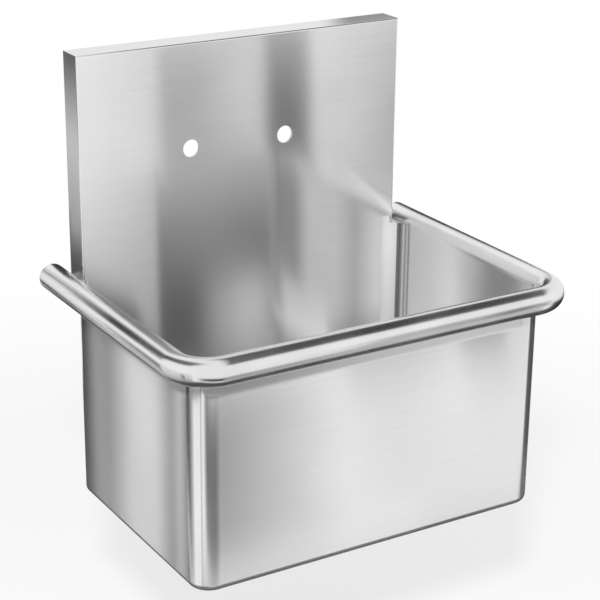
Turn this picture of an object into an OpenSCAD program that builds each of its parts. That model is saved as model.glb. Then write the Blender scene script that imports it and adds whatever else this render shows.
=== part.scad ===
// Wall-hung surgical scrub sink: one deep bowl under a tall backsplash, with a round rolled rim.
// Millimetres. +X is to the right of someone who stands at the sink, +Y points into the wall, +Z is up.
// The origin is on the wall, at the middle of the hanger's screw line.

/* [Sheet] */
// Thickness of the stainless sheet of the bowl, rim and backsplash
sheet_t = 1.6; // [1.2:0.1:2.5]

/* [Bowl] */
// Outside width of the bowl
bowl_w = 722; // [600:1:800]
// Depth from the front of the backsplash to the outside of the front wall
bowl_d = 478; // [400:1:560]
// Height of the rim tube's centre above the underside of the bowl
rim_z = 424; // [250:1:520]
// Outside radius of the two front corners
front_corner_r = 40; // [30:1:70]
// Outside radius of the two rear corners
rear_corner_r = 25; // [18:1:40]
// Outside radius of the bend between the walls and the floor
floor_bend_r = 14; // [6:1:18]

/* [Rolled rim] */
// Outside diameter of the rolled rim
rim_dia = 50.8; // [36:0.1:60]
// Gap between the outside of the bowl wall and the free edge of the roll
rim_gap = 1; // [0.5:0.1:6]
// Length of the pressed caps that close the roll at the wall
cap_len = 12; // [11:0.5:20]
// Rounding of the caps' outer edge
cap_edge_r = 9; // [4:0.5:10]

/* [Backsplash] */
// Height of the backsplash above the rim tube's centre
splash_rise = 422; // [330:1:520]
// How far each side of the backsplash stands in from the outside of the bowl
splash_inset = 17; // [4:0.5:20]
// Depth of the returns from the front of the backsplash to the wall
splash_return = 57; // [50:0.5:80]
// Outside radius of the backsplash's bends
splash_bend_r = 3; // [2.6:0.1:6]
// Width of the hem that lies on the wall
hem_w = 20; // [10:1:30]

/* [Tap holes] */
// Distance between the centres of the tap holes
tap_spacing = 203.2; // [150:0.1:260]
// Diameter of the tap holes
tap_hole_d = 34; // [22:0.5:40]
// Height of the tap holes above the rim tube's centre
tap_rise = 222; // [120:1:240]
// Sideways offset of the pair of tap holes from the middle
tap_offset = -14; // [-30:1:30]
// Thickness of the backing plate behind the tap holes
backing_t = 3; // [2:0.5:6]
// Metal of the backing plate left beyond each tap hole
backing_margin = 26; // [12:1:32]

/* [Wall hanger] */
// Length of the hanger bracket on the wall
hanger_w = 560; // [530:1:600]
// Thickness of the hanger bracket and of the channel that hooks on it
hanger_t = 2.5; // [2:0.1:4]
// Distance of the hanger's screw line below the top of the backsplash
hanger_drop = 110; // [95:1:116]
// Height of the bracket's plate below the screw line
hanger_foot = 24; // [14:1:26]
// Height of the bracket's plate above the screw line
hanger_head = 14; // [10:1:24]
// How far the hook stands out from the wall
hook_reach = 14; // [11:0.5:22]
// Height of the hook above the bracket's plate
hook_rise = 20; // [12:1:26]
// Length of the lip that drops in behind the hook
lip_len = 15; // [8:1:18]
// Height of the channel's flange that is welded to the backsplash
channel_flange = 28; // [15:1:40]
// How much longer the channel is than the bracket
channel_extra = 30; // [0:1:60]
// Diameter of the hanger's screw holes
hanger_hole_d = 10; // [6:0.5:14]
// Distance between the outer screw holes
hanger_outer = 508; // [400:1:512]
// Distance between the inner screw holes
hanger_inner = 203; // [100:1:350]

/* [Lower brackets] */
// Width of each lower wall bracket
foot_w = 60; // [40:1:90]
// Thickness of the lower wall brackets
foot_t = 2.5; // [2:0.1:4]
// Height of the brackets' web above the underside of the bowl
foot_z = 42; // [25:1:90]
// Height of the flange that is welded to the bowl
foot_flange = 40; // [20:1:70]
// How far the wall flange reaches below the underside of the bowl
foot_drop = 36; // [28:1:60]
// Distance of the anchor holes below the underside of the bowl
foot_hole_drop = 18; // [14:1:20]
// Diameter of the anchor holes
foot_hole_d = 10; // [6:0.5:14]
// Distance between the two anchor holes
foot_spacing = 406; // [300:1:460]

/* [Floor dish] */
// Distance of the drain's centre in front of the backsplash
drain_y = 238; // [200:1:275]
// Radius at which the floor starts to fall towards the drain
dish_r = 140; // [90:1:145]
// Fall of the floor towards the drain
dish_drop = 5; // [2:0.5:10]
// Depth of the step that the drain's flange lies in
seat_drop = 3; // [2:0.5:5]
// Clearance between the drain's flange and the side of that step
seat_clear = 0.6; // [0.3:0.1:1.5]
// Radius of the drain hole in the floor
drain_hole_r = 45; // [42:0.5:48]

/* [Drain] */
// Width of the flange of the drain body on the floor
flange_w = 11; // [8:0.5:14]
// Thickness of the flange
flange_t = 2; // [1.5:0.1:2.4]
// Clearance between the drain cup and its hole in the floor
cup_clear = 2; // [1:0.1:4]
// Wall of the drain cup
cup_wall = 2; // [1.5:0.1:3]
// Depth of the drain cup below its flange
cup_depth = 30; // [26:1:40]
// Depth of the shelf that carries the strainer, below the flange
shelf_depth = 6; // [4:0.5:9]
// Width of the shelf that carries the strainer
shelf_w = 3; // [2:0.5:5]
// Inside radius of the outlet collar
outlet_r = 18; // [14:0.5:20]
// Wall of the outlet collar
outlet_wall = 5; // [4:0.5:7]
// Length of the outlet collar
outlet_len = 20; // [16:1:30]
// Thickness of the rubber gasket under the floor
gasket_t = 3; // [2:0.5:5]
// Thickness of the friction ring under the gasket
ring_t = 1; // [0.5:0.1:2]
// How far the gasket, friction ring and lock nut lie in from the edge of the flange
seal_inset = 1; // [0.5:0.5:4]
// Thickness of the lock nut
lock_nut_t = 9; // [6:0.5:12]
// Number of lugs on the lock nut
lug_count = 8; // [4:1:12]
// Width of each lug
lug_w = 9; // [5:0.5:12]
// Length of each lug
lug_len = 5; // [3:0.5:8]
// Radial clearance in the drain's screw threads
thread_clear = 0.1; // [0.05:0.01:0.2]

/* [Lift-out strainer] */
// Thickness of the strainer plate
strainer_t = 2; // [1.2:0.1:3]
// Radial clearance of the strainer plate in the drain cup
strainer_clear = 0.6; // [0.4:0.1:1.5]
// Radius of the strainer's holes
strainer_hole_r = 2.4; // [1.5:0.1:2.8]
// Radius of the innermost ring of holes
first_row_r = 12; // [11:0.5:16]
// Distance from one ring of holes to the next
row_step = 7; // [6:0.5:10]
// Distance between the holes along a ring
row_pitch = 7.2; // [6.5:0.1:10]
// Metal left between the outermost holes and the shelf
row_margin = 1; // [0.5:0.1:3]
// Radius of the knob that lifts the strainer
knob_r = 7; // [5:0.5:8]
// Radius of the knob's neck
knob_neck_r = 4; // [3:0.5:5]
// Height of the knob's neck
knob_neck_h = 4.5; // [3:0.5:8]
// Height of the knob's head
knob_head_h = 4.5; // [4:0.5:8]
// Chamfer round the knob's head
knob_chamfer = 1.2; // [0.5:0.1:1.8]
// Radius of the stem that holds the knob to the plate
stem_r = 2.5; // [2:0.1:2.8]
// Radial clearance of the stem in the plate
stem_clear = 0.1; // [0.02:0.01:0.1]
// Radius of the stem's rivet head under the plate
rivet_r = 4.5; // [3.5:0.5:6]
// Thickness of the rivet head
rivet_t = 1.2; // [0.8:0.1:2]

/* [Tailpiece] */
// Outside diameter of the tailpiece
tail_d = 38.1; // [32:0.1:38.5]
// Wall of the tailpiece
tail_wall = 1.3; // [1:0.1:2]
// Length of the tailpiece below the coupling nut's washer
tail_len = 64; // [50:1:150]
// Thickness of the tailpiece washer
washer_t = 2; // [1:0.5:4]
// Thickness of the tailpiece's flange
tail_flange_t = 2; // [1.5:0.1:3]
// How much the tailpiece's neck under its flange is thicker than the tube
neck_t = 0.5; // [0.3:0.1:1]
// How far that neck shows below the coupling nut
neck_show = 1; // [0.5:0.5:3]
// Height of the coupling nut
nut_h = 19; // [15:0.5:22]
// Wall of the coupling nut
nut_wall = 4; // [3:0.5:6]
// Thickness of the nut's lip under the tailpiece's flange
nut_lip = 3; // [2:0.5:5]

/* [Sound pads] */
// Width of each sound-deadening pad under the floor
pad_w = 150; // [80:1:150]
// Length of each pad from front to back
pad_len = 300; // [150:1:330]
// Thickness of the pads
pad_t = 3; // [1.5:0.5:6]
// Distance of the pads from the outside of the bowl's ends
pad_inset = 40; // [20:1:50]

/* [Hidden] */
$fn = 96;
rim_r = rim_dia / 2;
rim_out = rim_r - sheet_t;
half_w = bowl_w / 2;
front_y = -bowl_d;
front_axis = [half_w - front_corner_r, front_y + front_corner_r];
rear_axis = [half_w - rear_corner_r, sheet_t - rear_corner_r];
splash_w = bowl_w - 2 * splash_inset;
splash_top = rim_z + splash_rise;
splash_mid = splash_return / 2;
return_bottom = rim_z - rim_r;
tap_z = rim_z + tap_rise;
screw_z = splash_top - hanger_drop;
hook_top = screw_z + hanger_head + hook_rise;
hook_pocket = hook_reach - hanger_t;
channel_w = hanger_w + channel_extra;
backing_w = tap_spacing + tap_hole_d + 2 * backing_margin;
backing_h = tap_hole_d + 2 * backing_margin;
cup_r = drain_hole_r - cup_clear;
cup_bore = cup_r - cup_wall;
strainer_bore = cup_bore - shelf_w;
flange_r = cup_r + flange_w;
seat_r = flange_r + seat_clear;
seat_z = sheet_t - dish_drop - seat_drop;
cup_bottom = seat_z - cup_depth;
outlet_bottom = cup_bottom - outlet_len;
outlet_outer = outlet_r + outlet_wall;
ring_r = flange_r - seal_inset;
washer_z = outlet_bottom - washer_t;
strainer_r = cup_bore - strainer_clear;
strainer_z = seat_z - shelf_depth;
tail_r = tail_d / 2;
neck_r = tail_r + neck_t;
flange_z = washer_z - tail_flange_t;
neck_z = flange_z - nut_lip - neck_show;
tail_z = washer_z - tail_len;
last_row_r = strainer_bore - strainer_hole_r - row_margin;
slack = 1;

// Everything below is drawn from the middle of the bowl's rear edge: y = 0 is the front face of the
// backsplash and z = 0 the underside of the bowl. in_place moves it to the origin on the wall.
module in_place() {
    translate([0, -splash_return, -screw_z]) children();
}

// Runs a section given in x and z from one y to another.
module along_y(from, to) {
    translate([0, to, 0]) rotate([90, 0, 0]) linear_extrude(to - from) children();
}

// Runs a section given in y and z from one x to another.
module along_x(from, to) {
    translate([from, 0, 0]) rotate([90, 0, 90]) linear_extrude(to - from) children();
}

// Turns a section given outward from a corner's axis through the quarter that starts at an angle.
module round_corner(axis, start) {
    translate(axis) rotate(start) rotate_extrude(angle = 90) children();
}

module mirrored_pair() {
    children();
    mirror([1, 0, 0]) children();
}

// One quarter of a ring of sheet: the quarter is named by the signs of its two directions.
module bend(outer_r, signs) {
    intersection() {
        difference() {
            circle(r = outer_r);
            circle(r = outer_r - sheet_t);
        }
        translate([signs[0] < 0 ? -outer_r : 0, signs[1] < 0 ? -outer_r : 0]) square(outer_r);
    }
}

// Section of a bowl wall: x = 0 is its outside face and the floor strip runs inward.
module wall_section(strip) {
    translate([-sheet_t, floor_bend_r]) square([sheet_t, rim_z - floor_bend_r]);
    foot_section(strip);
}

// The lower bend of that wall with its floor strip.
module foot_section(strip) {
    translate([-floor_bend_r, floor_bend_r]) bend(floor_bend_r, [1, -1]);
    translate([-strip, 0]) square([strip - floor_bend_r, sheet_t]);
}

// Section of the closed roll, outward from the outside of the bowl wall.
module tube_section() {
    translate([rim_out, rim_z]) difference() {
        circle(r = rim_r);
        circle(r = rim_r - sheet_t);
    }
}

// Section of the rim where it rises from the wall, turns over and comes back to the wall's outside.
module rim_section() {
    difference() {
        tube_section();
        translate([rim_gap - rim_dia, rim_z - rim_dia]) square(rim_dia);
    }
}

// Rectangle with round corners, centred.
module round_rect(w, h, r) {
    square([w - 2 * r, h], center = true);
    square([w, h - 2 * r], center = true);
    for (sx = [-1, 1], sy = [-1, 1]) {
        translate([sx * (w / 2 - r), sy * (h / 2 - r)]) circle(r = r);
    }
}

// The block that the backsplash's sheet wraps, drawn in from its faces by a depth.
module splash_block(depth) {
    bend_r = splash_bend_r - depth;
    bottom = return_bottom - (depth > 0 ? slack : 0);
    side_h = splash_top - bottom;
    intersection() {
        translate([0, splash_mid, bottom]) linear_extrude(side_h - depth) {
            round_rect(splash_w - 2 * depth, splash_return - 2 * depth, bend_r);
        }
        along_x(-bowl_w, bowl_w) {
            translate([splash_mid, splash_top - side_h]) {
                round_rect(splash_return - 2 * depth, 2 * (side_h - depth), bend_r);
            }
        }
    }
}

// Backsplash with its returns and hems, and the rear wall of the bowl, bent from one sheet.
module back_panel() {
    color("silver") in_place() difference() {
        union() {
            difference() {
                splash_block(0);
                splash_block(sheet_t);
                translate([hem_w - splash_w / 2, splash_mid, return_bottom - slack]) {
                    cube([splash_w - 2 * hem_w, splash_return, splash_top - hem_w - return_bottom + slack]);
                }
                translate([-splash_w / 2 + sheet_t, -slack, return_bottom - slack]) {
                    cube([splash_w - 2 * sheet_t, splash_mid, rim_z - return_bottom + slack]);
                }
                translate([-bowl_w, -slack, return_bottom - slack]) {
                    cube([2 * bowl_w, splash_bend_r + slack, rim_z - return_bottom + slack]);
                }
            }
            translate([-rear_axis[0], 0, floor_bend_r]) {
                cube([2 * rear_axis[0], sheet_t, rim_z - floor_bend_r]);
            }
        }
        tap_holes();
    }
}

module tap_holes() {
    for (side = [-1, 1]) {
        translate([tap_offset + side * tap_spacing / 2, -slack, tap_z]) rotate([-90, 0, 0]) {
            cylinder(d = tap_hole_d, h = sheet_t + backing_t + 2 * slack);
        }
    }
}

// Front wall and floor of the bowl in one bent sheet, dished towards the drain.
module bowl_wrap() {
    color("silver") in_place() {
        difference() {
            along_x(-front_axis[0], front_axis[0]) {
                translate([front_y, 0]) mirror([1, 0]) wall_section(bowl_d - rear_corner_r);
                translate([sheet_t, 0]) foot_section(rear_corner_r + sheet_t);
            }
            translate([0, -drain_y, -slack]) cylinder(r = dish_r, h = sheet_t + 2 * slack);
        }
        translate([0, -drain_y, 0]) dish();
    }
}

module dish() {
    seat_in = drain_hole_r;
    rotate_extrude() polygon([
        [dish_r, sheet_t], [seat_r + seat_drop, sheet_t - dish_drop], [seat_r, seat_z], [seat_in, seat_z],
        [seat_in, seat_z - sheet_t], [seat_r, seat_z - sheet_t],
        [seat_r + seat_drop, -dish_drop], [dish_r, 0]
    ]);
}

// One end of the bowl: the end wall, its round corners and the edge of the floor.
module end_panel() {
    along_y(front_axis[1], rear_axis[1]) {
        translate([half_w, 0]) wall_section(front_corner_r);
    }
    round_corner(front_axis, -90) translate([front_corner_r, 0]) wall_section(front_corner_r);
    round_corner(rear_axis, 0) translate([rear_corner_r, 0]) wall_section(rear_corner_r);
    if (front_corner_r > rear_corner_r) {
        along_x(front_axis[0], rear_axis[0]) {
            translate([sheet_t, 0]) foot_section(rear_corner_r);
        }
    }
}

module right_end_panel() {
    color("silver") in_place() end_panel();
}

module left_end_panel() {
    color("silver") in_place() mirror([1, 0, 0]) end_panel();
}

module front_rim() {
    color("gainsboro") in_place() along_x(-front_axis[0], front_axis[0]) {
        translate([front_y, 0]) mirror([1, 0]) rim_section();
    }
}

module rim_corner() {
    round_corner(front_axis, -90) translate([front_corner_r, 0]) rim_section();
}

module right_rim_corner() {
    color("gainsboro") in_place() rim_corner();
}

module left_rim_corner() {
    color("gainsboro") in_place() mirror([1, 0, 0]) rim_corner();
}

// One side of the rim, from the front corner to its cap at the wall.
module side_rim() {
    along_y(front_axis[1], 0) translate([half_w, 0]) rim_section();
    along_y(0, splash_return - cap_len) translate([half_w, 0]) tube_section();
    rear_ledge();
}

// The flat ledge on the bowl's rear corner, which runs on beside the backsplash to the cap.
module rear_ledge() {
    edge = half_w - sheet_t / 2;
    translate([0, 0, rim_z]) linear_extrude(sheet_t) {
        difference() {
            translate(rear_axis) square([edge - rear_axis[0], -rear_axis[1]]);
            translate(rear_axis) circle(r = rear_corner_r - sheet_t);
        }
        translate([splash_w / 2, 0]) square([edge - splash_w / 2, splash_return - cap_len]);
    }
}

module right_rim() {
    color("gainsboro") in_place() side_rim();
}

module left_rim() {
    color("gainsboro") in_place() mirror([1, 0, 0]) side_rim();
}

// Pressed cap that closes the roll at the wall, with a rounded outer edge.
module rim_cap() {
    translate([half_w + rim_out, splash_return - cap_len, rim_z]) rotate([-90, 0, 0]) rotate_extrude() {
        difference() {
            cap_outline(rim_r, cap_len, cap_edge_r);
            translate([0, -slack]) {
                cap_outline(rim_r - sheet_t, cap_len - sheet_t + slack, cap_edge_r - sheet_t);
            }
        }
    }
}

module cap_outline(r, h, edge_r) {
    square([r - edge_r, h]);
    square([r, h - edge_r]);
    intersection() {
        translate([r - edge_r, h - edge_r]) circle(r = edge_r);
        square([r, h]);
    }
}

module right_rim_cap() {
    color("gainsboro") in_place() rim_cap();
}

module left_rim_cap() {
    color("gainsboro") in_place() mirror([1, 0, 0]) rim_cap();
}

module tap_backing_plate() {
    color("darkgray") in_place() difference() {
        translate([tap_offset - backing_w / 2, sheet_t, tap_z - backing_h / 2]) {
            cube([backing_w, backing_t, backing_h]);
        }
        tap_holes();
    }
}

// Channel welded behind the backsplash: its web lies on the hook and its lip drops behind it.
module hanger_channel() {
    lip_y = splash_return - (hook_pocket - hanger_t) / 2;
    color("darkgray") in_place() along_x(-channel_w / 2, channel_w / 2) {
        translate([sheet_t, hook_top]) square([hanger_t, channel_flange]);
        translate([sheet_t, hook_top]) square([lip_y - sheet_t, hanger_t]);
        translate([lip_y - hanger_t, hook_top - lip_len]) square([hanger_t, lip_len + hanger_t]);
    }
}

// Bracket that is screwed to the wall and carries the sink on its hook.
module wall_hanger() {
    plate_top = screw_z + hanger_head;
    color("dimgray") in_place() difference() {
        along_x(-hanger_w / 2, hanger_w / 2) {
            translate([splash_return - hanger_t, screw_z - hanger_foot]) {
                square([hanger_t, hanger_foot + hanger_head]);
            }
            translate([splash_return - hook_reach, plate_top - hanger_t]) square([hook_reach, hanger_t]);
            translate([splash_return - hook_reach, plate_top - hanger_t]) {
                square([hanger_t, hook_rise + hanger_t]);
            }
        }
        for (spacing = [hanger_outer, hanger_inner], side = [-1, 1]) {
            translate([side * spacing / 2, splash_return - hanger_t - slack, screw_z]) rotate([-90, 0, 0]) {
                cylinder(d = hanger_hole_d, h = hanger_t + 2 * slack);
            }
        }
    }
}

// Lower wall bracket: welded to the back of the bowl and screwed to the wall under it.
module lower_bracket() {
    difference() {
        along_x(foot_spacing / 2 - foot_w / 2, foot_spacing / 2 + foot_w / 2) {
            translate([sheet_t, foot_z]) square([foot_t, foot_flange]);
            translate([sheet_t, foot_z]) square([splash_return - sheet_t, foot_t]);
            translate([splash_return - foot_t, -foot_drop]) square([foot_t, foot_drop + foot_z + foot_t]);
        }
        translate([foot_spacing / 2, splash_return - foot_t - slack, -foot_hole_drop]) rotate([-90, 0, 0]) {
            cylinder(d = foot_hole_d, h = foot_t + 2 * slack);
        }
    }
}

module right_lower_bracket() {
    color("dimgray") in_place() lower_bracket();
}

module left_lower_bracket() {
    color("dimgray") in_place() mirror([1, 0, 0]) lower_bracket();
}

// Sound-deadening pad glued under the floor beside the dish.
module sound_pad() {
    translate([half_w - pad_inset - pad_w, -drain_y - pad_len / 2, -pad_t]) cube([pad_w, pad_len, pad_t]);
}

module right_sound_pad() {
    color("#3a3a3a") in_place() sound_pad();
}

module left_sound_pad() {
    color("#3a3a3a") in_place() mirror([1, 0, 0]) sound_pad();
}

module at_drain() {
    in_place() translate([0, -drain_y, 0]) children();
}

// Ring with a flat top and bottom round the drain's axis.
module flat_ring(inner_r, outer_r, bottom, height) {
    translate([0, 0, bottom]) rotate_extrude() translate([inner_r, 0]) square([outer_r - inner_r, height]);
}

// Flanged cup in the floor's hole, with a shelf for the strainer and a threaded outlet collar.
module drain_body() {
    color("lightgray") at_drain() rotate_extrude() polygon([
        [flange_r, seat_z], [flange_r - flange_t, seat_z + flange_t], [cup_bore, seat_z + flange_t],
        [cup_bore, strainer_z], [strainer_bore, strainer_z], [strainer_bore, cup_bottom + cup_wall + shelf_w],
        [strainer_bore - shelf_w, cup_bottom + cup_wall], [outlet_r, cup_bottom + cup_wall],
        [outlet_r, outlet_bottom], [outlet_outer, outlet_bottom],
        [outlet_outer, cup_bottom], [cup_r, cup_bottom], [cup_r, seat_z]
    ]);
}

module drain_gasket() {
    color("#202020") at_drain() {
        flat_ring(cup_r + thread_clear, ring_r, seat_z - sheet_t - gasket_t, gasket_t);
    }
}

module friction_ring() {
    color("burlywood") at_drain() {
        flat_ring(cup_r + thread_clear, ring_r, seat_z - sheet_t - gasket_t - ring_t, ring_t);
    }
}

// Lock nut that clamps the drain body to the floor, with lugs for a spanner.
module drain_lock_nut() {
    bore_r = cup_r + thread_clear;
    nut_r = ring_r - lug_len;
    bottom = seat_z - sheet_t - gasket_t - ring_t - lock_nut_t;
    color("darkkhaki") at_drain() translate([0, 0, bottom]) linear_extrude(lock_nut_t) difference() {
        union() {
            circle(r = nut_r);
            for (i = [0 : lug_count - 1]) {
                rotate(i * 360 / lug_count) translate([0, -lug_w / 2]) square([nut_r + lug_len, lug_w]);
            }
        }
        circle(r = bore_r);
    }
}

// Perforated plate that lifts out of the drain cup.
module strainer_plate() {
    color("silver") at_drain() translate([0, 0, strainer_z]) difference() {
        cylinder(r = strainer_r, h = strainer_t);
        translate([0, 0, -slack]) {
            cylinder(r = stem_r + stem_clear, h = strainer_t + 2 * slack, $fn = 32);
            for (row_r = [first_row_r : row_step : last_row_r]) strainer_row(row_r);
        }
    }
}

module strainer_row(row_r) {
    hole_count = floor(2 * PI * row_r / row_pitch);
    for (i = [0 : hole_count - 1]) {
        rotate(i * 360 / hole_count) translate([row_r, 0, 0]) {
            cylinder(r = strainer_hole_r, h = strainer_t + 2 * slack, $fn = 20);
        }
    }
}

// Turned knob with a stem that is riveted over under the plate.
module strainer_knob() {
    color("silver") at_drain() translate([0, 0, strainer_z]) rotate_extrude($fn = 48) union() {
        translate([0, -rivet_t]) square([rivet_r, rivet_t]);
        square([stem_r, strainer_t]);
        translate([0, strainer_t]) square([knob_neck_r, knob_neck_h]);
        translate([0, strainer_t + knob_neck_h]) polygon([
            [0, 0], [knob_r - knob_chamfer, 0], [knob_r, knob_chamfer], [knob_r, knob_head_h - knob_chamfer],
            [knob_r - knob_chamfer, knob_head_h], [0, knob_head_h]
        ]);
    }
}

// Flanged tube that hangs from the outlet and takes the trap.
module tailpiece() {
    tail_bore = tail_r - tail_wall;
    rim = outlet_outer - thread_clear;
    color("lightgray") at_drain() rotate_extrude() polygon([
        [tail_bore, washer_z], [rim, washer_z], [rim, flange_z], [neck_r, flange_z], [neck_r, neck_z],
        [tail_r, neck_z], [tail_r, tail_z], [tail_bore, tail_z]
    ]);
}

module tailpiece_washer() {
    color("#e8e8e0") at_drain() flat_ring(outlet_r, outlet_outer - thread_clear, washer_z, washer_t);
}

// Six-sided nut that draws the tailpiece's flange up against the outlet collar.
module coupling_nut() {
    bore_r = outlet_outer + thread_clear;
    color("lightgray") at_drain() difference() {
        translate([0, 0, flange_z - nut_lip]) {
            cylinder(r = (bore_r + nut_wall) / cos(30), h = nut_h, $fn = 6);
        }
        translate([0, 0, flange_z]) cylinder(r = bore_r, h = nut_h);
        translate([0, 0, flange_z - nut_lip - slack]) {
            cylinder(r = neck_r + thread_clear, h = nut_lip + 2 * slack);
        }
    }
}

back_panel();
bowl_wrap();
left_end_panel();
right_end_panel();
front_rim();
left_rim();
right_rim();
left_rim_corner();
right_rim_corner();
left_rim_cap();
right_rim_cap();
tap_backing_plate();
hanger_channel();
wall_hanger();
left_lower_bracket();
right_lower_bracket();
left_sound_pad();
right_sound_pad();
drain_body();
drain_gasket();
friction_ring();
drain_lock_nut();
strainer_plate();
strainer_knob();
tailpiece();
tailpiece_washer();
coupling_nut();
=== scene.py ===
from math import pi, radians, sqrt
import bpy
import bmesh
from mathutils import Matrix, Vector


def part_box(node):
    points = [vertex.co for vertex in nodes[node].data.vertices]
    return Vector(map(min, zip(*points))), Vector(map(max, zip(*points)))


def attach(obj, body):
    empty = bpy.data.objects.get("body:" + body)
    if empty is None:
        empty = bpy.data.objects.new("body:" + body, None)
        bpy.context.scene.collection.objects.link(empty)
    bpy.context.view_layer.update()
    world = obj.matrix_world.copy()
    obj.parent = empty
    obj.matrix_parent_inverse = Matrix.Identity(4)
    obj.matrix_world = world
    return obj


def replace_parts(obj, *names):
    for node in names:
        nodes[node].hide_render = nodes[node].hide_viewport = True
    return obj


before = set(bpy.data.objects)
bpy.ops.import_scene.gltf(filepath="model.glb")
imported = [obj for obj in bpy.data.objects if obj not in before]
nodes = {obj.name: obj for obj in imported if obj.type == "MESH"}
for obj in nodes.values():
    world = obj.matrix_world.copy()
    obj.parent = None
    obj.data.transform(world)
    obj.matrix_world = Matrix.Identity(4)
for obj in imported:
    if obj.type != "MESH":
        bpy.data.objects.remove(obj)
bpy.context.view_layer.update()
print("frame loaded,", len(nodes), "CAD nodes")


bpy.context.scene.view_settings.view_transform = "Standard"


# Camera, at the photograph's viewing angle

cameraSet = {
    "place": (-1.604, -2.892, 0.8224),  # metres
    "turn": 31.25,  # degrees from +Y towards +X
    "dip": 20.79,  # degrees below level
    "roll": 0.56,
    "lens": 106.33,  # mm on a 36 mm sensor
    "shiftX": 0.0068,
}


def makeCamera():
    data = bpy.data.cameras.new("camera")
    data.lens = cameraSet["lens"]
    data.shift_x = cameraSet["shiftX"]
    data.dof.use_dof = False
    camera = bpy.data.objects.new("camera", data)
    aim = Matrix.Rotation(-radians(cameraSet["turn"]), 4, "Z")
    tilt = Matrix.Rotation(radians(90 - cameraSet["dip"]), 4, "X")
    roll = Matrix.Rotation(radians(cameraSet["roll"]), 4, "Z")
    camera.matrix_world = Matrix.Translation(cameraSet["place"]) @ aim @ tilt @ roll
    bpy.context.scene.collection.objects.link(camera)
    bpy.context.scene.camera = camera


# Node helpers

def startMaterial(name):
    material = bpy.data.materials.new(name)
    material.use_nodes = True
    tree = material.node_tree
    tree.nodes.clear()
    return material, tree


def addNode(tree, kind, **settings):
    node = tree.nodes.new(kind)
    for key, value in settings.items():
        setattr(node, key, value)
    return node


def join(tree, fromSocket, toSocket):
    tree.links.new(fromSocket, toSocket)


def mathNode(tree, operation, first, second=None, clamp=False):
    node = addNode(tree, "ShaderNodeMath", operation=operation, use_clamp=clamp)
    for socket, value in zip(node.inputs, (first, second)):
        if value is None:
            continue
        if isinstance(value, (int, float)):
            socket.default_value = value
        else:
            join(tree, value, socket)
    return node.outputs[0]


def rangeNode(tree, value, fromLow, fromHigh, toLow, toHigh):
    node = addNode(tree, "ShaderNodeMapRange", interpolation_type="SMOOTHSTEP")
    join(tree, value, node.inputs["Value"])
    node.inputs["From Min"].default_value = fromLow
    node.inputs["From Max"].default_value = fromHigh
    node.inputs["To Min"].default_value = toLow
    node.inputs["To Max"].default_value = toHigh
    return node.outputs["Result"]


def seenRays(tree):
    path = addNode(tree, "ShaderNodeLightPath")
    seen = mathNode(tree, "ADD", path.outputs["Is Camera Ray"], path.outputs["Is Glossy Ray"])
    return mathNode(tree, "ADD", seen, path.outputs["Is Transmission Ray"], clamp=True)


# World: white where the camera, metal or glass sees it, and a soft grey fill elsewhere

worldSet = {"fill": 0.3}


def makeWorld():
    world = bpy.data.worlds.new("studio")
    world.use_nodes = True
    tree = world.node_tree
    tree.nodes.clear()
    fill = addNode(tree, "ShaderNodeBackground")
    fill.inputs["Color"].default_value = (1, 1, 1, 1)
    fill.inputs["Strength"].default_value = worldSet["fill"]
    white = addNode(tree, "ShaderNodeBackground")
    white.inputs["Color"].default_value = (1, 1, 1, 1)
    white.inputs["Strength"].default_value = 1
    mix = addNode(tree, "ShaderNodeMixShader")
    out = addNode(tree, "ShaderNodeOutputWorld")
    join(tree, seenRays(tree), mix.inputs["Fac"])
    join(tree, fill.outputs[0], mix.inputs[1])
    join(tree, white.outputs[0], mix.inputs[2])
    join(tree, mix.outputs[0], out.inputs["Surface"])
    bpy.context.scene.world = world


# Lamps: a crisp key from above the front left, and a wide soft top lamp

lampSet = {
    "key": {"from": (-0.84, -1.25, 1.0), "away": 4.2, "size": 0.45, "power": 230},
    "top": {"from": (-0.2, -0.5, 1.0), "away": 3.4, "size": 3.2, "power": 20},
}
lampTarget = Vector((0, -0.3, -0.4))


def makeLamp(name, settings):
    data = bpy.data.lights.new(name, "AREA")
    data.shape = "DISK"
    data.size = settings["size"]
    data.energy = settings["power"]
    lamp = bpy.data.objects.new(name, data)
    direction = Vector(settings["from"]).normalized()
    lamp.location = lampTarget + direction * settings["away"]
    lamp.rotation_euler = direction.to_track_quat("Z", "Y").to_euler()
    lamp.visible_glossy = False
    bpy.context.scene.collection.objects.link(lamp)


# Floor: pale, under the sink at its working height, and fading to the white of the world

floorSet = {
    "z": -1.24,
    "radius": 40,
    "segments": 96,
    "tone": (0.9, 0.9, 0.9, 1),
    "lift": 0.75,  # how far the seen floor is lifted to white near the sink
    "fadeFrom": 0.7,
    "fadeTo": 2.6,
}


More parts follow.
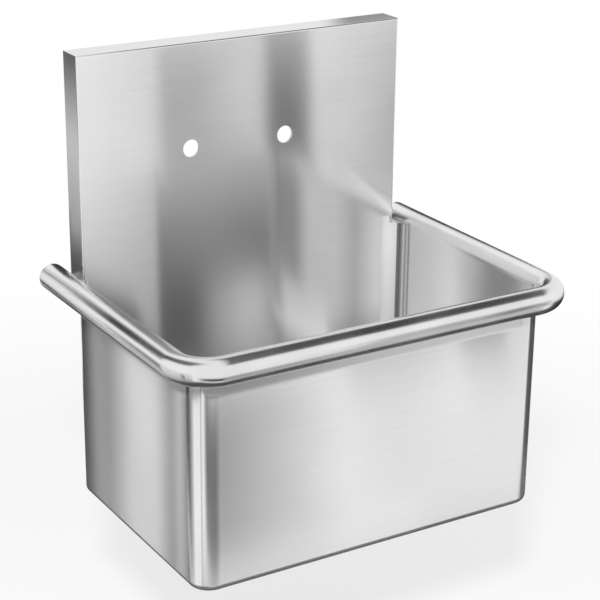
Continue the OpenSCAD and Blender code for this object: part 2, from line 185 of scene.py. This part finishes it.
def makeFloor():
    mesh = bmesh.new()
    bmesh.ops.create_circle(mesh, cap_ends=True, segments=floorSet["segments"], radius=floorSet["radius"])
    data = bpy.data.meshes.new("floor")
    mesh.to_mesh(data)
    mesh.free()
    floor = bpy.data.objects.new("floor", data)
    floor.location.z = floorSet["z"]
    bpy.context.scene.collection.objects.link(floor)
    material, tree = startMaterial("paleFloor")
    place = addNode(tree, "ShaderNodeTexCoord")
    away = addNode(tree, "ShaderNodeVectorMath", operation="LENGTH")
    join(tree, place.outputs["Object"], away.inputs[0])
    reach = (floorSet["fadeFrom"], floorSet["fadeTo"])
    fade = rangeNode(tree, away.outputs["Value"], *reach, floorSet["lift"], 1)
    lift = mathNode(tree, "MULTIPLY", fade, seenRays(tree))
    matt = addNode(tree, "ShaderNodeBsdfDiffuse")
    matt.inputs["Color"].default_value = floorSet["tone"]
    white = addNode(tree, "ShaderNodeEmission")
    mix = addNode(tree, "ShaderNodeMixShader")
    out = addNode(tree, "ShaderNodeOutputMaterial")
    join(tree, lift, mix.inputs["Fac"])
    join(tree, matt.outputs[0], mix.inputs[1])
    join(tree, white.outputs[0], mix.inputs[2])
    join(tree, mix.outputs[0], out.inputs["Surface"])
    data.materials.append(material)


# Studio cards: grey cards with soft edges and stripes, which only reflections see. The far ones stand round
# the sink as studio flats; the ones set close to the sink, several of them inside the bowl a few
# millimetres off its walls, are painted reflections and painted shadows in the steel.

cardSet = {
    # face is the axis that the card stands across, and low and high are its ends along its own two axes.
    # stripes go along the first of them, as place and tone. fade multiplies them along the second, mask
    # clears them there, and lean slants both. towards says which way a card near the sink shows: it is
    # clear from behind.
    "ceiling": {
        "face": "Z", "at": 2.3, "low": (0.5, -2.4), "high": (3.0, 1.8), "soft": 0.5,
        "stripes": [(0, 0.05)],
    },
    "mat": {
        "face": "Z", "at": -1.2, "low": (-1.1, -1.22), "high": (1.5, 1.7), "soft": 0.25,
        "stripes": [(0, 0.07)],
    },
    "splash": {
        "face": "Y", "at": -1.56, "low": (0.3, -0.92), "high": (1.62, -0.2), "soft": 0.07,
        "stripes": [(0.37, 1.0), (0.57, 0.8), (0.58, 0.4), (0.7, 0.4), (0.91, 0.7), (0.93, 0.0),
                    (1.06, 0.0), (1.08, 0.8), (1.45, 0.4)],
    },
    "frontLeft": {
        "face": "Y", "at": -1.3, "low": (-1.3, -1.24), "high": (0.46, -0.62), "soft": 0.15,
        "stripes": [(-1.25, 1.0), (-0.85, 0.0), (-0.2, 0.0), (0.1, 0.3), (0.35, 0.8)],
    },
    "leftWall": {
        "face": "X", "at": -0.7, "low": (0.145, -1.24), "high": (1.5, -0.52), "soft": 0.02,
        "stripes": [(0.2, 0.5), (0.3, 0.8), (0.45, 0.8), (0.5, 0.4), (0.7, 0.0)],
    },
    # painted reflection: light and dark upright bands 9 cm off the left end panel, which the panel shows as
    # its stripes
    "leftNear": {
        "face": "X", "at": -0.45, "towards": 1, "low": (-0.345, -0.9), "high": (0.17, -0.39), "soft": 0.006,
        "stripes": [(-0.33, 0.0), (-0.3, 0.8), (-0.27, 0.2), (-0.2, 0.8), (-0.1, 0.8), (0.0, 0.3),
                    (0.06, 0.4), (0.11, 0.0)],
    },
    "leftHigh": {
        "face": "X", "at": -0.7, "low": (-0.05, -0.22), "high": (0.95, 0.5), "soft": 0.05,
        "stripes": [(0, 0.0)],
        "lean": -0.875,
        "mask": [(-0.5, 0), (-0.42, 1), (0.5, 1)],
    },
    "returnShade": {
        "face": "X", "at": -0.71, "low": (0.6, -0.56), "high": (1.0, 0.1), "soft": 0.05,
        "stripes": [(0.8, 1.0)],
        "fade": [(-0.5, 0.4), (-0.3, 0.7), (-0.1, 0.0)],
    },
    "cornerHigh": {
        "face": "Z", "at": 2.3, "low": (-3.2, -0.9), "high": (-0.2, 5.0), "soft": 0.5,
        "stripes": [(0, 0.1)],
        "lean": 5.26,
        "mask": [(-13, 0), (-11, 1), (-5, 1), (-1.5, 0)],
    },
    # painted reflection beside the near left corner, darker downward
    "cornerUnder": {
        "face": "X", "at": -0.45, "towards": 1, "low": (-0.6, -0.42), "high": (-0.44, -0.3), "soft": 0.01,
        "stripes": [(-0.5, 0.78)],
        "fade": [(-0.42, 0.3), (-0.32, 1.0)],
    },
    "cornerDark": {
        "face": "X", "at": -1.1, "low": (-0.4, -1.24), "high": (0.9, -0.4), "soft": 0.12,
        "stripes": [(-0.3, 0.6), (0.0, 0.1), (0.3, 0.0)],
    },
    "farRight": {
        "face": "X", "at": 1.15, "low": (-1.12, -1.24), "high": (1.5, -0.4), "soft": 0.25,
        "stripes": [(0, 0.02)],
    },
    "rearRight": {
        "face": "Y", "at": 1.3, "low": (1.0, -1.24), "high": (2.1, 0.6), "soft": 0.12,
        "stripes": [(1, 0.04)],
    },
    # painted reflections: the inner cards stand a few millimetres off the bowl's inner walls, facing into
    # the bowl, and their stripes set what the walls show of each other
    "innerFrontRight": {
        "face": "Y", "at": -0.528, "towards": 1, "low": (0.0, -0.735), "high": (0.345, -0.27), "soft": 0.02,
        "stripes": [(0, 0.4)],
        "fade": [(-0.6, 0.0), (-0.45, 0.35), (-0.32, 1.0)],
    },
    "innerFrontLow": {
        "face": "Y", "at": -0.524, "towards": 1, "low": (0.1, -0.78), "high": (0.39, -0.5), "soft": 0.1,
        "stripes": [(0.12, 0.1), (0.26, 0.6)],
    },
    "innerFrontLeft": {
        "face": "Y", "at": -0.52, "towards": 1, "low": (-0.34, -0.735), "high": (0.045, -0.27),
        "soft": 0.008,
        "stripes": [(-0.15, 1.0), (0.03, 0.6)],
        "lean": 0.87,
        "fade": [(-0.69, 0.0), (-0.61, 0.65), (-0.36, 1.0)],
    },
    "innerRight": {
        "face": "X", "at": 0.35, "towards": -1, "low": (-0.53, -0.735), "high": (-0.06, -0.3),
        "soft": 0.015,
        "stripes": [(-0.45, 0.2), (-0.39, 0.6), (-0.28, 0.6), (-0.2, 0.4), (-0.12, 0.7)],
        "lean": -0.46,
        "fade": [(-0.54, 0.4), (-0.45, 1.0)],
    },
    "innerRightLow": {
        "face": "X", "at": 0.345, "towards": -1, "low": (-0.53, -0.735), "high": (-0.26, -0.53),
        "soft": 0.06,
        "stripes": [(-0.5, 0.72)],
    },
    "innerRear": {
        "face": "Y", "at": -0.06, "towards": -1, "low": (-0.33, -0.7), "high": (0.345, -0.3), "soft": 0.01,
        "stripes": [(-0.2, 0.2), (0.0, 0.7), (0.05, 0.2), (0.12, 0.2), (0.22, 0.8), (0.33, 0.6)],
    },
    # painted shade: a grey sheet just in front of the backsplash and a dark one beyond the left roll's end
    # darken, in reflection, the left roll's inner side and the top of its end
    "rearShade": {
        "face": "Y", "at": -0.06, "towards": -1, "low": (-0.34, -0.3), "high": (-0.1, 0.05), "soft": 0.03,
        "stripes": [(-0.3, 0.25)],
    },
    "endShade": {
        "face": "Y", "at": 0.05, "towards": -1, "low": (-0.374, -0.36), "high": (-0.28, -0.2),
        "soft": 0.015,
        "stripes": [(-0.3, 0.03)],
    },
    # painted shadow: a dark slanted line on the front inner wall, which the rear wall shows below the left
    # rim as the rim's shadow
    "rimStreak": {
        "face": "Y", "at": -0.518, "towards": 1, "low": (-0.16, -0.66), "high": (0.01, -0.48), "soft": 0.03,
        "stripes": [(-0.1, 0.0)],
        "lean": 0.72,
        "mask": [(-0.7, 1), (-0.598, 1), (-0.578, 0)],
    },
    # painted reflection: a dark sheet just off the left inner wall, seen in the other walls
    "innerLeft": {
        "face": "X", "at": -0.35, "towards": 1, "low": (-0.53, -0.735), "high": (-0.06, -0.3),
        "soft": 0.015,
        "stripes": [(-0.4, 0.06)],
    },
    # painted reflections: a dark and a light strip in the rear right corner of the bowl, which give the
    # cove its dark and light lines
    "coveDark": {
        "face": "X", "at": 0.34, "towards": 1, "low": (-0.0725, -0.735), "high": (-0.0575, -0.3),
        "soft": 0.004,
        "stripes": [(-0.07, 0.0), (-0.0625, 0.6)],
    },
    "coveLight": {
        "face": "Y", "at": -0.078, "towards": 1, "low": (0.332, -0.735), "high": (0.352, -0.3),
        "soft": 0.003,
        "stripes": [(0.334, 0.8), (0.35, 1.0)],
        "fade": [(-0.55, 0.75), (-0.36, 1.0)],
    },
    # painted reflections: thin bright slanted strips by the right inner wall, which the rear wall shows as
    # bright streaks
    "streakHigh": {
        "face": "X", "at": 0.352, "towards": -1, "low": (-0.3, -0.31), "high": (-0.06, -0.225),
        "soft": 0.01,
        "stripes": [(-0.3, 0.7), (-0.1, 1.0)],
        "lean": 0.237,
        "mask": [(-0.319, 0), (-0.31, 1), (-0.304, 1), (-0.295, 0)],
    },
    "streakLow": {
        "face": "X", "at": 0.34, "towards": -1, "low": (-0.53, -0.7), "high": (-0.28, -0.59), "soft": 0.01,
        "stripes": [(-0.5, 1.0)],
        "lean": -0.07,
        "mask": [(-0.64, 0), (-0.626, 1), (-0.618, 1), (-0.604, 0)],
    },
    # painted shadow: dark strips 15 mm off the front and left panels just below the rim, which the panels
    # show as the rim's shadow band
    "rimShadowFront": {
        "face": "Y", "at": -0.55, "towards": 1, "low": (-0.46, -0.376), "high": (0.325, -0.31),
        "soft": 0.0015,
        "stripes": [(-0.3, 0.3), (0.1, 0.7)],
    },
    "rimShadowLeft": {
        "face": "X", "at": -0.376, "towards": 1, "low": (-0.47, -0.389), "high": (0.0, -0.33),
        "soft": 0.0015,
        "stripes": [(-0.1, 0.3), (0.0, 0.0)],
    },
    # painted shade: a grey strip 2 cm in front of the front roll, which darkens the roll's lower side in
    # reflection
    "frontRollUnder": {
        "face": "Y", "at": -0.604, "towards": 1, "low": (-0.34, -0.356), "high": (0.34, -0.316),
        "soft": 0.014,
        "stripes": [(-0.3, 0.4), (0.1, 0.6)],
    },
}


rampSpare = 0.001  # metres past the last stop, so that a ramp of one stop has a length too


def toneRamp(tree, place, tones):
    low, high = tones[0][0], tones[-1][0] + rampSpare
    along = mathNode(tree, "DIVIDE", mathNode(tree, "SUBTRACT", place, low), high - low)
    ramp = addNode(tree, "ShaderNodeValToRGB")
    join(tree, along, ramp.inputs["Fac"])
    stops = ramp.color_ramp.elements
    while len(stops) > 1:
        stops.remove(stops[0])
    for index, (at, tone) in enumerate(tones):
        stop = stops[0] if index == 0 else stops.new(1)
        stop.position = (at - low) / (high - low)
        stop.color = (tone, tone, tone, 1)
    return ramp.outputs["Color"]


def makeCard(name, settings):
    across, up = {"X": (1, 2), "Y": (0, 2), "Z": (0, 1)}[settings["face"]]
    flat = "XYZ".index(settings["face"])
    mesh = bmesh.new()
    corners = []
    for first, second in ((0, 0), (1, 0), (1, 1), (0, 1)):
        corner = [0, 0, 0]
        corner[flat] = settings["at"]
        corner[across] = (settings["low"], settings["high"])[first][0]
        corner[up] = (settings["low"], settings["high"])[second][1]
        corners.append(mesh.verts.new(corner))
    flip = settings.get("towards", 1) * (-1 if settings["face"] == "Y" else 1) < 0
    mesh.faces.new(corners[::-1] if flip else corners)
    data = bpy.data.meshes.new(name)
    mesh.to_mesh(data)
    mesh.free()
    card = bpy.data.objects.new(name, data)
    bpy.context.scene.collection.objects.link(card)
    material, tree = startMaterial(name)
    place = addNode(tree, "ShaderNodeTexCoord")
    axes = addNode(tree, "ShaderNodeSeparateXYZ")
    join(tree, place.outputs["Object"], axes.inputs[0])
    cover = None
    for axis, side in ((across, 0), (up, 1)):
        low, high = settings["low"][side], settings["high"][side]
        reach = mathNode(tree, "ABSOLUTE", mathNode(tree, "SUBTRACT", axes.outputs[axis], (low + high) / 2))
        edge = rangeNode(tree, reach, (high - low) / 2 - settings["soft"], (high - low) / 2, 1, 0)
        cover = edge if cover is None else mathNode(tree, "MULTIPLY", cover, edge)
    if "towards" in settings:
        # the mesh faces +X or +Y where towards is 1, and Backfacing is 1 on the other side
        behind = addNode(tree, "ShaderNodeNewGeometry").outputs["Backfacing"]
        cover = mathNode(tree, "MULTIPLY", cover, mathNode(tree, "SUBTRACT", 1, behind))
    clear = addNode(tree, "ShaderNodeBsdfTransparent")
    grey = addNode(tree, "ShaderNodeEmission")
    join(tree, toneRamp(tree, axes.outputs[across], settings["stripes"]), grey.inputs["Color"])
    slant = mathNode(tree, "MULTIPLY", axes.outputs[across], settings.get("lean", 0))
    slanted = mathNode(tree, "ADD", axes.outputs[up], slant)
    if "fade" in settings:
        # a ramp holds no more than 1, so the fade is stored against its highest value
        most = max(tone for at, tone in settings["fade"])
        ratio = toneRamp(tree, slanted, [(at, tone / most) for at, tone in settings["fade"]])
        join(tree, mathNode(tree, "MULTIPLY", ratio, most), grey.inputs["Strength"])
    if "mask" in settings:
        cover = mathNode(tree, "MULTIPLY", cover, toneRamp(tree, slanted, settings["mask"]))
    mix = addNode(tree, "ShaderNodeMixShader")
    out = addNode(tree, "ShaderNodeOutputMaterial")
    join(tree, cover, mix.inputs["Fac"])
    join(tree, clear.outputs[0], mix.inputs[1])
    join(tree, grey.outputs[0], mix.inputs[2])
    join(tree, mix.outputs[0], out.inputs["Surface"])
    material.cycles.emission_sampling = "NONE"
    data.materials.append(material)
    for ray in ("camera", "diffuse", "transmission", "shadow", "volume_scatter"):
        setattr(card, "visible_" + ray, False)


# Shared effects, as node groups

def startGroup(name, inputs, outputs):
    group = bpy.data.node_groups.new(name, "ShaderNodeTree")
    for label, kind in inputs:
        group.interface.new_socket(label, in_out="INPUT", socket_type=kind)
    for label, kind in outputs:
        group.interface.new_socket(label, in_out="OUTPUT", socket_type=kind)
    entry = group.nodes.new("NodeGroupInput")
    leave = group.nodes.new("NodeGroupOutput")
    return group, entry.outputs, leave.inputs


def noiseNode(tree, vector, scale, detail, rough):
    node = addNode(tree, "ShaderNodeTexNoise")
    join(tree, vector, node.inputs["Vector"])
    join(tree, scale, node.inputs["Scale"])
    node.inputs["Detail"].default_value = detail
    node.inputs["Roughness"].default_value = rough
    return node.outputs["Fac"]


grainSet = {
    "wideScale": 0.12,  # the wide lines' share of the fine lines' count
    "fineShare": 0.65,
    "wideShare": 0.35,
    "fineDetail": 3,
    "wideDetail": 2,
    "rough": 0.5,
}
cloudSet = {"detail": 1, "rough": 0.4, "from": 0.3, "to": 0.7}


def grainGroup():
    # brushed lines: fine noise on coordinates that are stretched along the brushing
    group, entry, leave = startGroup(
        "brushedGrain",
        [("Vector", "NodeSocketVector"), ("Lines per metre", "NodeSocketFloat"),
         ("Contrast", "NodeSocketFloat")],
        [("Height", "NodeSocketFloat"), ("Shade", "NodeSocketFloat")],
    )
    lines = entry["Lines per metre"]
    wideLines = mathNode(group, "MULTIPLY", lines, grainSet["wideScale"])
    fine = noiseNode(group, entry["Vector"], lines, grainSet["fineDetail"], grainSet["rough"])
    wide = noiseNode(group, entry["Vector"], wideLines, grainSet["wideDetail"], grainSet["rough"])
    fine = mathNode(group, "MULTIPLY", fine, grainSet["fineShare"])
    both = mathNode(group, "ADD", fine, mathNode(group, "MULTIPLY", wide, grainSet["wideShare"]))
    spread = mathNode(group, "MULTIPLY", mathNode(group, "SUBTRACT", both, 0.5), entry["Contrast"])
    join(group, both, leave["Height"])
    join(group, mathNode(group, "ADD", spread, 1), leave["Shade"])
    return group


def cloudGroup():
    # soft cloudy patches of rolled sheet
    group, entry, leave = startGroup(
        "rolledClouds",
        [("Vector", "NodeSocketVector"), ("Size", "NodeSocketFloat")],
        [("Mask", "NodeSocketFloat")],
    )
    soft = noiseNode(group, entry["Vector"], entry["Size"], cloudSet["detail"], cloudSet["rough"])
    join(group, rangeNode(group, soft, cloudSet["from"], cloudSet["to"], 0, 1), leave["Mask"])
    return group


groups = {"grain": grainGroup(), "clouds": cloudGroup()}


def placeGroup(tree, group, **values):
    node = addNode(tree, "ShaderNodeGroup")
    node.node_tree = groups[group]
    for key, value in values.items():
        socket = node.inputs[key.replace("_", " ")]
        if isinstance(value, (int, float)):
            socket.default_value = value
        else:
            join(tree, value, socket)
    return node


def stretched(tree, stretch):
    place = addNode(tree, "ShaderNodeTexCoord")
    mapping = addNode(tree, "ShaderNodeMapping")
    mapping.inputs["Scale"].default_value = stretch
    join(tree, place.outputs["Object"], mapping.inputs["Vector"])
    return place.outputs["Object"], mapping.outputs["Vector"]


# Brushed and polished steel

sheetSet = {
    "light": (0.79, 0.79, 0.79, 1),
    "dark": (0.72, 0.72, 0.72, 1),
    "metallic": 0.9,
    "roughness": (0.12, 0.135),
    "anisotropic": 1.0,
    "lines": 1400,
    "contrast": 0.16,
    "bump": 0.001,
    "cloud": 5.0,
}
rimSet = {
    "light": (0.84, 0.84, 0.84, 1),
    "dark": (0.76, 0.76, 0.76, 1),
    "metallic": 1.0,
    "roughness": (0.21, 0.25),
    "anisotropic": 0.4,
    "lines": 1800,
    "contrast": 0.08,
    "bump": 0.001,
    "cloud": 9.0,
}


# The other finishes

drainCentre = (0, -0.295)
finishSet = {
    "millSteel": {
        "light": (0.56, 0.56, 0.57, 1), "dark": (0.47, 0.47, 0.48, 1), "metallic": 1.0,
        "roughness": (0.32, 0.44), "lines": 700, "contrast": 0.25, "bump": 0.02, "cloud": 30,
    },
    "turnedSteel": {
        "light": (0.78, 0.78, 0.78, 1), "dark": (0.7, 0.7, 0.71, 1), "metallic": 1.0,
        "roughness": (0.13, 0.19), "lines": 1500, "contrast": 0.14, "bump": 0.01, "cloud": 40,
        "rings": drainCentre,
    },
    "chrome": {
        "light": (0.83, 0.83, 0.84, 1), "dark": (0.77, 0.77, 0.79, 1), "metallic": 1.0,
        "roughness": (0.05, 0.1), "lines": 500, "contrast": 0.05, "bump": 0.004, "cloud": 60,
        "rings": drainCentre,
    },
    "castBrass": {
        "light": (0.74, 0.58, 0.31, 1), "dark": (0.6, 0.45, 0.22, 1), "metallic": 1.0,
        "roughness": (0.26, 0.4), "lines": 900, "contrast": 0.2, "bump": 0.03, "cloud": 120,
    },
    "gasketRubber": {
        "light": (0.045, 0.045, 0.046, 1), "dark": (0.025, 0.025, 0.026, 1), "metallic": 0.0,
        "roughness": (0.5, 0.62), "lines": 1600, "contrast": 0.3, "bump": 0.08, "cloud": 90,
    },
    "padRubber": {
        "light": (0.13, 0.13, 0.132, 1), "dark": (0.085, 0.085, 0.088, 1), "metallic": 0.0,
        "roughness": (0.68, 0.82), "lines": 1200, "contrast": 0.35, "bump": 0.12, "cloud": 35,
    },
    "pressedFibre": {
        "light": (0.37, 0.25, 0.15, 1), "dark": (0.2, 0.125, 0.075, 1), "metallic": 0.0,
        "roughness": (0.72, 0.86), "lines": 2600, "contrast": 0.4, "bump": 0.1, "cloud": 900,
    },
    "palePlastic": {
        "light": (0.8, 0.79, 0.75, 1), "dark": (0.72, 0.71, 0.66, 1), "metallic": 0.0,
        "roughness": (0.3, 0.42), "lines": 500, "contrast": 0.06, "bump": 0.02, "cloud": 150,
    },
}


grainNudge = (0, 0.01, 0.05)
bumpDepth = 0.001  # metres


def crossGrain(tree, axis):
    # the direction across an axis that lies in the surface, with a little of +Z so that it never vanishes
    place = addNode(tree, "ShaderNodeTexCoord")
    across = addNode(tree, "ShaderNodeVectorMath", operation="CROSS_PRODUCT")
    join(tree, place.outputs["Normal"], across.inputs[0])
    across.inputs[1].default_value = axis
    parts = addNode(tree, "ShaderNodeSeparateXYZ")
    join(tree, across.outputs[0], parts.inputs[0])
    upward = addNode(tree, "ShaderNodeVectorMath", operation="SCALE")
    join(tree, across.outputs[0], upward.inputs[0])
    join(tree, mathNode(tree, "SIGN", parts.outputs["Z"]), upward.inputs["Scale"])
    nudge = addNode(tree, "ShaderNodeVectorMath", operation="ADD")
    join(tree, upward.outputs[0], nudge.inputs[0])
    nudge.inputs[1].default_value = grainNudge
    return nudge.outputs[0]


def ringed(tree, centre):
    # distance from an upright axis, and height: turned rings round it
    place = addNode(tree, "ShaderNodeTexCoord")
    mapping = addNode(tree, "ShaderNodeMapping")
    mapping.inputs["Location"].default_value = (-centre[0], -centre[1], 0)
    mapping.inputs["Scale"].default_value = (1, 1, 0)
    join(tree, place.outputs["Object"], mapping.inputs["Vector"])
    away = addNode(tree, "ShaderNodeVectorMath", operation="LENGTH")
    join(tree, mapping.outputs["Vector"], away.inputs[0])
    axes = addNode(tree, "ShaderNodeSeparateXYZ")
    join(tree, place.outputs["Object"], axes.inputs[0])
    ring = addNode(tree, "ShaderNodeCombineXYZ")
    join(tree, away.outputs["Value"], ring.inputs["X"])
    join(tree, axes.outputs["Z"], ring.inputs["Z"])
    return place.outputs["Object"], ring.outputs[0]


def surfaceMaterial(name, settings, stretch=(1, 1, 1), axis=None):
    material, tree = startMaterial(name)
    plain, along = ringed(tree, settings["rings"]) if "rings" in settings else stretched(tree, stretch)
    lines, contrast = settings["lines"], settings["contrast"]
    grain = placeGroup(tree, "grain", Vector=along, Lines_per_metre=lines, Contrast=contrast)
    clouds = placeGroup(tree, "clouds", Vector=plain, Size=settings["cloud"])
    tone = addNode(tree, "ShaderNodeMix", data_type="RGBA")
    tone.inputs["A"].default_value = settings["dark"]
    tone.inputs["B"].default_value = settings["light"]
    join(tree, clouds.outputs["Mask"], tone.inputs["Factor"])
    shade = addNode(tree, "ShaderNodeVectorMath", operation="SCALE")
    join(tree, tone.outputs["Result"], shade.inputs[0])
    join(tree, grain.outputs["Shade"], shade.inputs["Scale"])
    rough = rangeNode(tree, clouds.outputs["Mask"], 0, 1, *settings["roughness"])
    bump = addNode(tree, "ShaderNodeBump")
    bump.inputs["Strength"].default_value = settings["bump"]
    bump.inputs["Distance"].default_value = bumpDepth
    join(tree, grain.outputs["Height"], bump.inputs["Height"])
    shader = addNode(tree, "ShaderNodeBsdfPrincipled")
    shader.inputs["Metallic"].default_value = settings["metallic"]
    join(tree, shade.outputs[0], shader.inputs["Base Color"])
    join(tree, rough, shader.inputs["Roughness"])
    join(tree, bump.outputs[0], shader.inputs["Normal"])
    if axis:
        shader.inputs["Anisotropic"].default_value = settings["anisotropic"]
        join(tree, crossGrain(tree, axis), shader.inputs["Tangent"])
    out = addNode(tree, "ShaderNodeOutputMaterial")
    join(tree, shader.outputs[0], out.inputs["Surface"])
    return material


crosswise = (1, 0, 0)
endwise = (0, 1, 0)
alongX = (0.02, 1, 1)  # the pattern is drawn out along this axis
alongY = (1, 0.02, 1)
materials = {
    "backSheet": surfaceMaterial("backSheet", sheetSet, alongX, crosswise),
    "wrapSheet": surfaceMaterial("wrapSheet", sheetSet, alongX, crosswise),
    "endSheet": surfaceMaterial("endSheet", sheetSet, alongY, endwise),
    "frontPolish": surfaceMaterial("frontPolish", rimSet, alongX, crosswise),
    "sidePolish": surfaceMaterial("sidePolish", rimSet, alongY, endwise),
    "cornerPolish": surfaceMaterial("cornerPolish", rimSet),
}
for finishName, finishSettings in finishSet.items():
    finishStretch = alongX if finishName == "millSteel" else (1, 1, 1)
    materials[finishName] = surfaceMaterial(finishName, finishSettings, finishStretch)
finishes = {
    "back_panel": "backSheet",
    "bowl_wrap": "wrapSheet",
    "left_end_panel": "endSheet",
    "right_end_panel": "endSheet",
    "front_rim": "frontPolish",
    "left_rim": "sidePolish",
    "right_rim": "sidePolish",
    "left_rim_corner": "cornerPolish",
    "right_rim_corner": "cornerPolish",
    "left_rim_cap": "cornerPolish",
    "right_rim_cap": "cornerPolish",
    "tap_backing_plate": "millSteel",
    "hanger_channel": "millSteel",
    "wall_hanger": "millSteel",
    "left_lower_bracket": "millSteel",
    "right_lower_bracket": "millSteel",
    "left_sound_pad": "padRubber",
    "right_sound_pad": "padRubber",
    "drain_body": "turnedSteel",
    "strainer_plate": "turnedSteel",
    "strainer_knob": "turnedSteel",
    "drain_gasket": "gasketRubber",
    "friction_ring": "pressedFibre",
    "drain_lock_nut": "castBrass",
    "tailpiece": "chrome",
    "coupling_nut": "chrome",
    "tailpiece_washer": "palePlastic",
}


def dressNodes():
    for node, finish in finishes.items():
        slots = nodes[node].data.materials
        slots.clear()
        slots.append(materials[finish])


# Pieces that the CAD holds plain or leaves out

def makePiece(mesh, name, finish, smooth=None):
    bmesh.ops.recalc_face_normals(mesh, faces=mesh.faces)
    data = bpy.data.meshes.new(name)
    mesh.to_mesh(data)
    mesh.free()
    if smooth:
        data.shade_smooth()
        data.set_sharp_from_angle(angle=radians(smooth))
    data.materials.append(materials[finish])
    piece = bpy.data.objects.new(name, data)
    bpy.context.scene.collection.objects.link(piece)
    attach(piece, "sink")
    return piece


roundProfile = 0.5
padSet = {  # metres
    "corner": 0.014,
    "cornerSteps": 6,
    "edge": 0.0005,
    "edgeSteps": 2,
    "level": 1e-5,  # how near to the plate's underside a corner counts as on it
    "plate": 0.0022,
    "studFoot": 0.0085,  # a stud's width at the plate and at its tip
    "studTip": 0.0062,
    "sunk": 0.0002,
    "pitch": 0.0125,
    "margin": 0.014,
}


def makePad(name, node):
    # a rubber plate under the floor, with rounded corners and rows of square studs
    low, high = (Vector(corner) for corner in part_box(node))
    under = high.z - padSet["plate"]
    size = Vector((high.x - low.x, high.y - low.y, padSet["plate"]))
    middle = Vector(((low.x + high.x) / 2, (low.y + high.y) / 2, (high.z + under) / 2))
    mesh = bmesh.new()
    bmesh.ops.create_cube(mesh, size=1, matrix=Matrix.Translation(middle) @ Matrix.Diagonal((*size, 1)))
    half = padSet["plate"] / 2
    upright = [edge for edge in mesh.edges if abs(edge.verts[0].co.z - edge.verts[1].co.z) > half]
    bmesh.ops.bevel(
        mesh, geom=upright, offset=padSet["corner"], segments=padSet["cornerSteps"], profile=roundProfile,
        affect="EDGES", material=-1,
    )
    level = padSet["level"]
    lower = [edge for edge in mesh.edges if all(abs(vert.co.z - under) < level for vert in edge.verts)]
    bmesh.ops.bevel(
        mesh, geom=lower, offset=padSet["edge"], segments=padSet["edgeSteps"], profile=roundProfile,
        affect="EDGES", material=-1,
    )
    depth = under + padSet["sunk"] - low.z
    counts = [int((extent - 2 * padSet["margin"]) / padSet["pitch"]) + 1 for extent in size[:2]]
    for column in range(counts[0]):
        for row in range(counts[1]):
            x = middle.x + (column - (counts[0] - 1) / 2) * padSet["pitch"]
            y = middle.y + (row - (counts[1] - 1) / 2) * padSet["pitch"]
            place = Matrix.Translation((x, y, low.z + depth / 2)) @ Matrix.Rotation(pi / 4, 4, "Z")
            bmesh.ops.create_cone(
                mesh, cap_ends=True, segments=4, depth=depth, matrix=place,
                radius1=padSet["studTip"] / sqrt(2), radius2=padSet["studFoot"] / sqrt(2),
            )
    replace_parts(makePiece(mesh, name, "padRubber"), node)


weldSet = {  # metres
    "radius": 0.0019,
    "end": 0.55,  # an end ring's share of the radius
    "step": 0.0016,
    "ripple": 0.86,  # a trough's share of the radius
    "sides": 8,
    "y": -0.0544,  # the beads' middle, 1 mm off the rear of the backsplash and of the bowl's wall
    "smooth": 50,  # degrees
}
weldBeads = {  # each bead's middle X, Z and length
    "hanger_welds": [(x, 0.062, 0.04) for x in (-0.26, -0.13, 0, 0.13, 0.26)],
    "backing_welds": [(x, z, 0.025) for z in (-0.047, -0.133) for x in (-0.13, -0.0465, 0.037, 0.105)],
    "left_bracket_welds": [(-0.203, -0.654, 0.04)],
    "right_bracket_welds": [(0.203, -0.654, 0.04)],
}


def addBead(mesh, x, z, length):
    # a ring is drawn along X in steps, a crest and a trough in turn; its first face stays as the bead's end
    radius = weldSet["radius"]
    count = round(length / weldSet["step"])
    centre = Vector((x - length / 2, weldSet["y"], z))
    shares = [1 if index % 2 else weldSet["ripple"] for index in range(1, count)] + [weldSet["end"]]
    ring = bmesh.ops.create_circle(
        mesh, cap_ends=True, segments=weldSet["sides"], radius=radius * weldSet["end"],
        matrix=Matrix.Translation(centre) @ Matrix.Rotation(pi / 2, 4, "Y"),
    )
    cap = ring["verts"][0].link_faces[0]
    face = cap
    before = weldSet["end"]
    for share in shares:
        grown = bmesh.ops.extrude_face_region(mesh, geom=[face])["geom"]
        if face is not cap:
            bmesh.ops.delete(mesh, geom=[face], context="FACES_ONLY")
        face = [item for item in grown if isinstance(item, bmesh.types.BMFace)][0]
        verts = list(face.verts)
        centre.x += weldSet["step"]
        bmesh.ops.translate(mesh, verts=verts, vec=(weldSet["step"], 0, 0))
        ratio = share / before
        bmesh.ops.scale(mesh, verts=verts, vec=(1, ratio, ratio), space=Matrix.Translation(-centre))
        before = share


def makeWelds(name, beads):
    mesh = bmesh.new()
    for x, z, length in beads:
        addBead(mesh, x, z, length)
    makePiece(mesh, name, "millSteel", smooth=weldSet["smooth"])


makeCamera()
makeWorld()
for lampName, lampSettings in lampSet.items():
    makeLamp(lampName, lampSettings)
makeFloor()
for cardName, cardSettings in cardSet.items():
    makeCard(cardName, cardSettings)
print("studio ready")
dressNodes()
print("finishes ready")
makePad("left_studded_pad", "left_sound_pad")
makePad("right_studded_pad", "right_sound_pad")
for weldName, weldPlaces in weldBeads.items():
    makeWelds(weldName, weldPlaces)
print("pads and welds ready")
